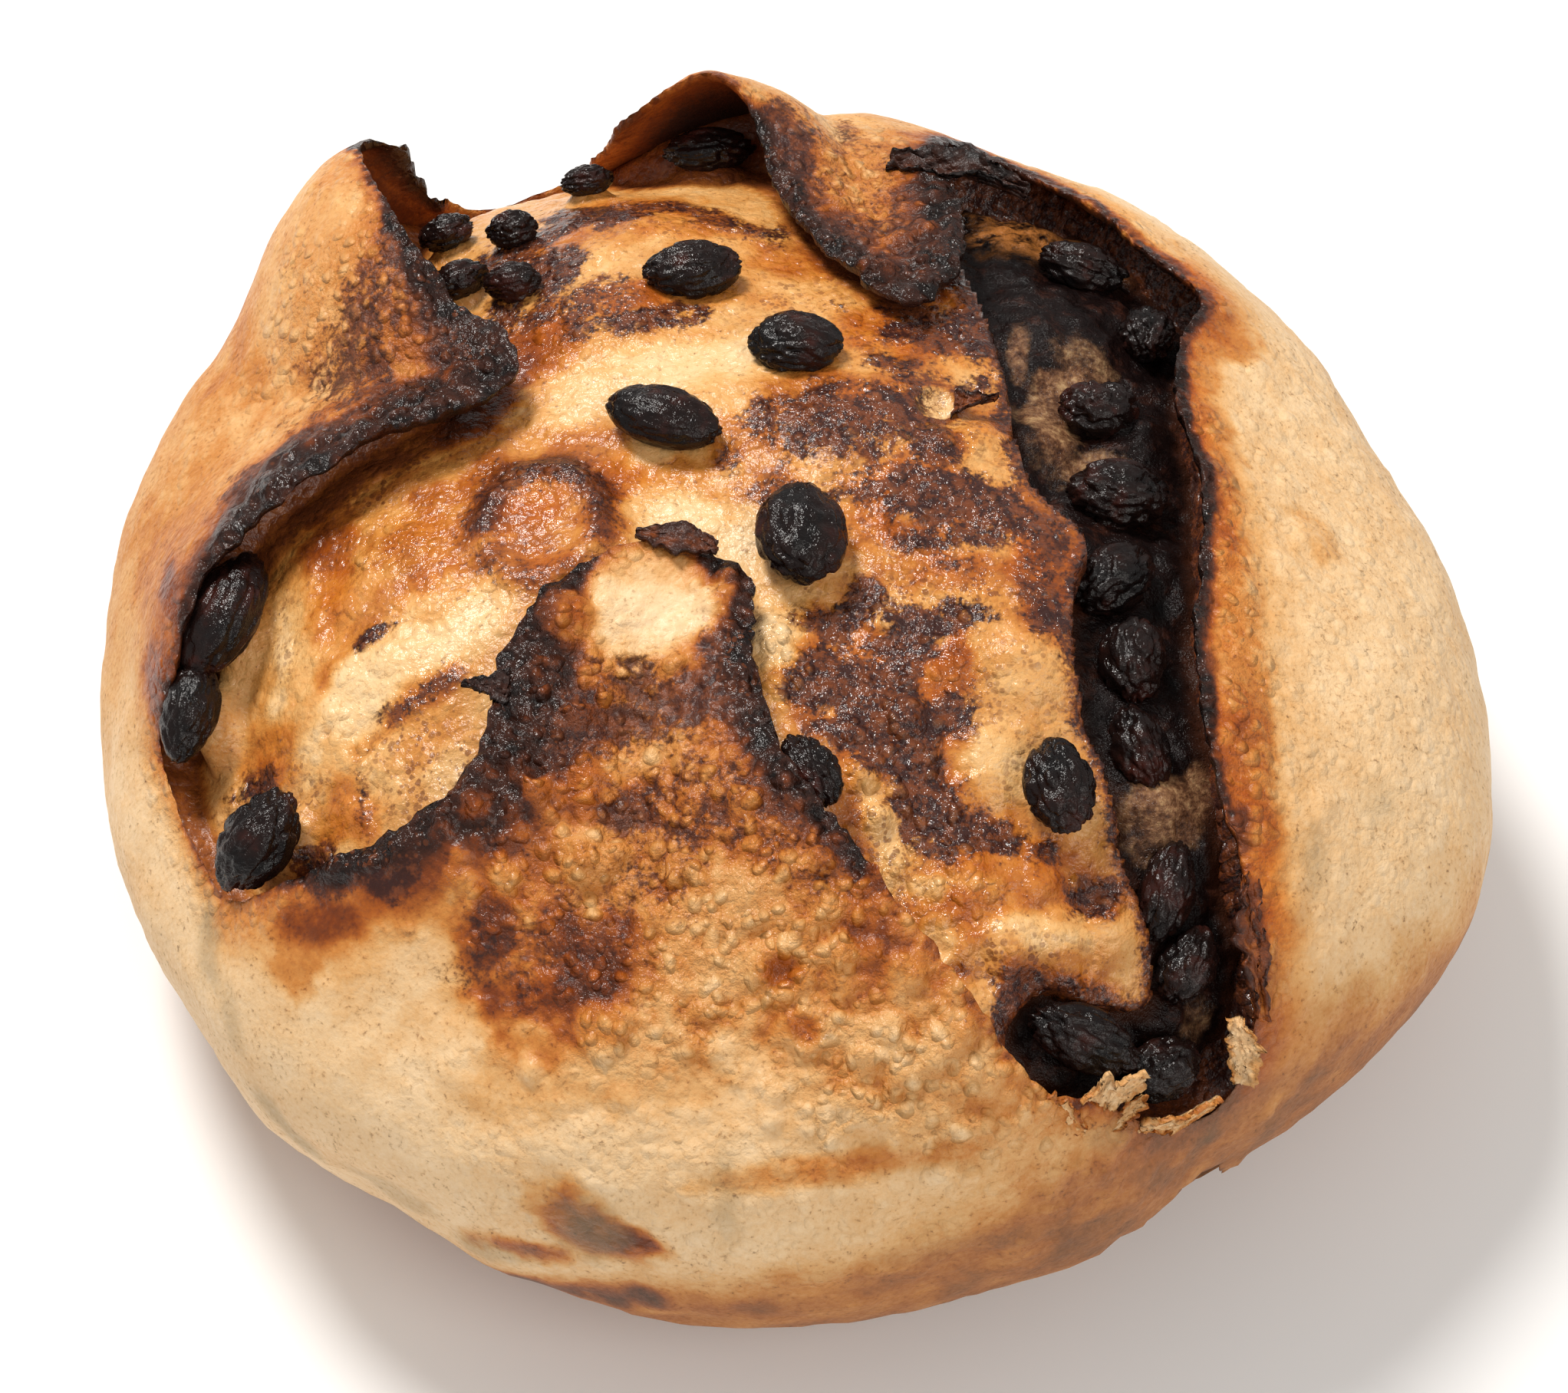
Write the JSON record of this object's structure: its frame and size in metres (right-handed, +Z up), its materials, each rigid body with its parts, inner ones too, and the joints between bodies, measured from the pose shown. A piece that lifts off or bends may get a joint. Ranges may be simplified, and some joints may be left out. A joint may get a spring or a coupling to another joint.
{
  "type": "raisin sourdough loaf",
  "caption": "Round cinnamon raisin sourdough loaf with a burst, blistered crust, raised burnt flaps and soft crumb studded with raisins",
  "frame": {"origin": "on the flat foot that the loaf rests on, under the middle of the crown", "axes": "+Z up out of the crown, -Y towards the side that faces the viewer in the picture, +X to its right, towards the long trench of raisins"},
  "size_m": [0.2151, 0.2157, 0.098],
  "materials": {
    "crust": "matt baked crust, pale at the sides, golden to burnt at the torn flaps",
    "raisin": "wrinkled, dark and slightly glossy"
  },
  "bodies": {
    "root": {"loaf": "crust", "raisin_01": "raisin", "raisin_02": "raisin", "raisin_03": "raisin", "raisin_04": "raisin", "raisin_05": "raisin", "raisin_06": "raisin", "raisin_07": "raisin", "raisin_08": "raisin", "raisin_09": "raisin", "raisin_10": "raisin", "raisin_11": "raisin", "raisin_12": "raisin", "raisin_13": "raisin", "raisin_14": "raisin", "raisin_15": "raisin", "raisin_16": "raisin", "raisin_17": "raisin", "raisin_18": "raisin", "raisin_19": "raisin", "raisin_20": "raisin", "raisin_21": "raisin", "raisin_22": "raisin", "raisin_23": "raisin", "raisin_24": "raisin", "raisin_25": "raisin", "raisin_26": "raisin"}
  },
  "joints": []
}
